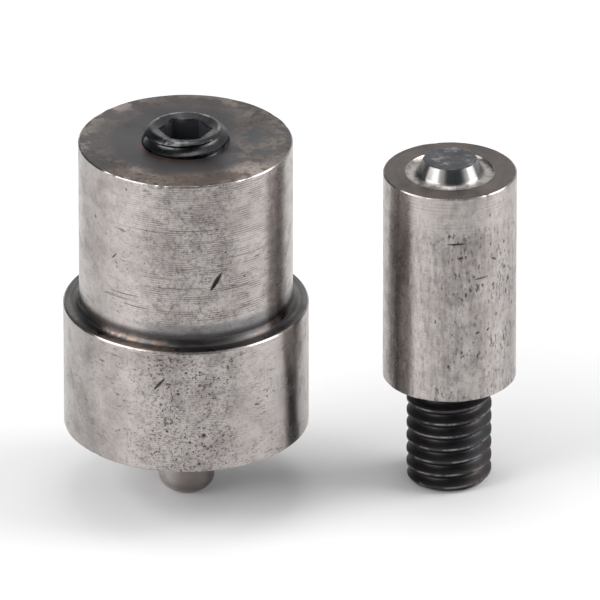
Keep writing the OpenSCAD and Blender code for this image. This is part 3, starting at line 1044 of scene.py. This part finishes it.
def pilot_steel():
    """Dull steel: fine rings, soft brown stains, and painted shade on its right side."""
    material, shader, place = start_material("pilot_dull_steel", ANVIL_AXIS)
    lines = use_group(TOOL_LINES, place, 200.0, 4200.0, 0.48, 0.66)
    blotch = stain(place, 420.0, 0.40, 0.68)
    # Painted shade: the right side of the pin is darkened
    film = ease(parts(place)[0], -2.3 * MM, -0.3 * MM)
    fill(shader["Base Color"], layered(
        tint(times(lines[0], 0.3), (0.52, 0.475, 0.460), (0.26, 0.234, 0.226)),
        (times(blotch, 0.35), (0.22, 0.190, 0.180)),
        (times(film, 0.72), (0.170, 0.144, 0.138))))
    fill(shader["Roughness"], between(blotch, 0.28, 0.42))
    stretch_gloss(shader, 0.45)
    bumped(shader, lines[1], 0.008 * MM)
    return material


def spring_wire():
    """Drawn wire: bright grey with fine streaks and a thin film of oil stain."""
    material, shader, place = start_material("spring_drawn_wire", ANVIL_AXIS)
    streaks = use_group(TOOL_LINES, place, 300.0, 7000.0, 0.45, 0.70)
    blotch = stain(place, 500.0, 0.45, 0.70)
    colour = tint(times(streaks[0], 0.4), (0.34, 0.345, 0.355), (0.20, 0.20, 0.205))
    fill(shader["Base Color"], tint(times(blotch, 0.35), colour, (0.21, 0.185, 0.16)))
    fill(shader["Roughness"], between(blotch, 0.24, 0.40))
    bumped(shader, streaks[1], 0.006 * MM)
    return material


def black_oxide(name, axis, brown, wear, dull):
    """Oiled black oxide: a dark film that reflects like metal, brown in patches and worn bare on the crests.

    brown and wear are shares, and dull is the least roughness. The inside of the socket is painted shade:
    near black, and not metal.
    """
    material, shader, place = start_material(name, axis)
    blotch = stain(place, 420.0, 0.42, 0.66)
    grain = noise(place, 1400.0, 3.0, 0.6)
    bare = times(mark(place, "crest"), speckle(place, 520.0, 3.0, 0.6, 0.45, 0.62), wear)
    socket_shade = mark(place, "dark")
    fill(shader["Base Color"], layered(
        tint(times(blotch, brown), (0.052, 0.053, 0.057), (0.062, 0.050, 0.046)),
        (ease(grain, 0.45, 0.7, 0.0, 0.5), (0.046, 0.046, 0.049)),
        (bare, (0.48, 0.47, 0.46)),
        # Painted shade: the inside of the socket is near black and matt
        (socket_shade, (0.028, 0.029, 0.034))))
    fill(shader["Metallic"], reckon("SUBTRACT", 1.0, socket_shade))
    fill(shader["Roughness"], ease(grain, 0.3, 0.7, dull, dull + 0.09))
    bumped(shader, grain, 0.003 * MM)
    return material


# The pieces, each in the place of its solid

SCREW_BLACK = black_oxide("screw_black_oxide", ANVIL_AXIS, brown=0.2, wear=0.7, dull=0.23)
STUD_BLACK = black_oxide("stud_black_oxide", PUNCH_AXIS, brown=0.9, wear=0.55, dull=0.42)
PIECES = [
    (anvil_body(), "anvil_body", "anvil", "anvil_steel", anvil_steel()),
    (pilot_pin(), "pilot_pin", "pilot", "pilot_steel", pilot_steel()),
    (pilot_spring(), "pilot_spring", "spring", "spring_steel", spring_wire()),
    (spring_screw(), "spring_screw", "screw", "black_oxide", SCREW_BLACK),
    (punch_body(), "punch_body", "punch", "punch_steel", punch_steel()),
    (mounting_stud(), "mounting_stud", "punch", "black_oxide", STUD_BLACK),
]
for piece, node, body, slot, material in PIECES:
    piece.data.materials.append(material)
    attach(piece, body)
    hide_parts(node)

# The spring gets a mesh of its own
dressed = {node: piece for piece, node, *_ in PIECES}
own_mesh(dressed["pilot_spring"])


# Floor, light and camera

FLOOR_HALF = 3.0
FLOOR_DROP = 0.02 * MM
FLOOR_GLOW = 0.03
FLOOR_WHITE = (0.86, 0.86, 0.86, 1)
WORLD_LIGHT = 0.45
# Azimuth right of the front, half widths in degrees that are fully dark and not dark at all, and how dark
DARK_SIDES = [(16, 26, 46, 0.95), (-126, 20, 42, 0.92), (132, 14, 36, 0.4)]
DARK_COLOUR = (0.010, 0.028, 0.038)
# Azimuth right of the front and elevation in degrees, distance, width, height and power
SOFTBOXES = {
    "softbox_left": (-69, 30, 0.55, 0.47, 0.45, 2.75),
    "softbox_right": (91, 30, 0.55, 0.33, 0.45, 2.2),
    "softbox_top": (180, 80, 0.8, 0.3, 0.3, 0.85),
}
AIM_Z = 0.02
SENSOR_WIDTH = 36.0
FOCAL_LENGTH = 1076.4
CAMERA_PLACE = (1.135 * MM, -1795.07 * MM, 905.0 * MM)
CAMERA_DIP = 26.164


def seen_rays(path):
    """1 for rays from the camera and for reflected and refracted ones, and 0 for the rest."""
    either = reckon("ADD", path["Is Camera Ray"], path["Is Glossy Ray"])
    return reckon("MINIMUM", reckon("ADD", either, path["Is Transmission Ray"]), 1.0)


def pale_floor():
    """White floor: it takes the shadow, and adds its own white where it is seen."""
    corners = [(x * FLOOR_HALF, y * FLOOR_HALF, -FLOOR_DROP) for x, y in ((-1, -1), (1, -1), (1, 1), (-1, 1))]
    mesh = bpy.data.meshes.new("floor")
    mesh.from_pydata(corners, [], [(0, 1, 2, 3)])
    material = bpy.data.materials.new("floor_white")
    material.use_nodes = True
    tree = material.node_tree
    tree.nodes.remove(tree.nodes["Principled BSDF"])
    seen = seen_rays(put(tree, "LightPath").outputs)
    glow = put(tree, "Emission", (1, 1, 1, 1), times(seen, FLOOR_GLOW)).outputs[0]
    matt = put(tree, "BsdfDiffuse", FLOOR_WHITE).outputs[0]
    fill(tree.nodes["Material Output"].inputs["Surface"], put(tree, "AddShader", glow, matt).outputs[0])
    mesh.materials.append(material)
    add_object("floor", mesh)


def studio_world():
    """White world: full white for the camera and in reflections, and weaker as light on the pieces.

    In reflections it is dark on three sides: where the camera stands between the lamps, and behind each lamp.
    """
    world = bpy.data.worlds.new("studio")
    bpy.context.scene.world = world
    world.use_nodes = True
    tree = world.node_tree
    background = tree.nodes["Background"].inputs
    path = put(tree, "LightPath").outputs
    fill(background["Strength"], between(seen_rays(path), WORLD_LIGHT, 1.0))
    look = put(tree, "TexCoord").outputs["Generated"]
    flat = put(tree, "VectorMath", scaled(look, (1.0, 1.0, 0.0)), operation="NORMALIZE").outputs[0]
    shade = 0.0
    for azimuth, full, none, level in DARK_SIDES:
        turn = math.radians(azimuth)
        middle = (math.sin(turn), -math.cos(turn), 0.0)
        toward = put(tree, "VectorMath", flat, middle, operation="DOT_PRODUCT").outputs[1]
        begins, ends = math.cos(math.radians(none)), math.cos(math.radians(full))
        shade = reckon("MAXIMUM", ease(toward, begins, ends, 0.0, level), shade)
    shade = times(shade, ease(parts(look)[2], 0.985, 0.93), path["Is Glossy Ray"])
    fill(background["Color"], tint(shade, (1, 1, 1), DARK_COLOUR))


def softbox(name, azimuth, elevation, distance, width, height, power):
    """Area lamp that looks at the middle of the dies."""
    lamp = bpy.data.lights.new(name, "AREA")
    lamp.shape = "RECTANGLE"
    lamp.size, lamp.size_y = width, height
    lamp.energy = power
    holder = add_object(name, lamp)
    turn, lift = math.radians(azimuth), math.radians(elevation)
    away = distance * math.cos(lift)
    holder.location = (away * math.sin(turn), -away * math.cos(turn), distance * math.sin(lift) + AIM_Z)
    holder.rotation_euler = (math.pi / 2 - lift, 0, turn)
    holder.visible_camera = False


def camera():
    """Long lens at the photo's viewing angle, level, aimed by its place and its pitch."""
    lens = bpy.data.cameras.new("camera")
    lens.sensor_width = SENSOR_WIDTH
    lens.lens = FOCAL_LENGTH
    lens.clip_end = 20.0
    holder = add_object("camera", lens)
    holder.location = CAMERA_PLACE
    holder.rotation_euler = (math.radians(90 - CAMERA_DIP), 0, 0)
    bpy.context.scene.camera = holder


pale_floor()
studio_world()
for lamp_name, lamp_values in SOFTBOXES.items():
    softbox(lamp_name, *lamp_values)
camera()
bpy.context.scene.view_settings.view_transform = "Standard"
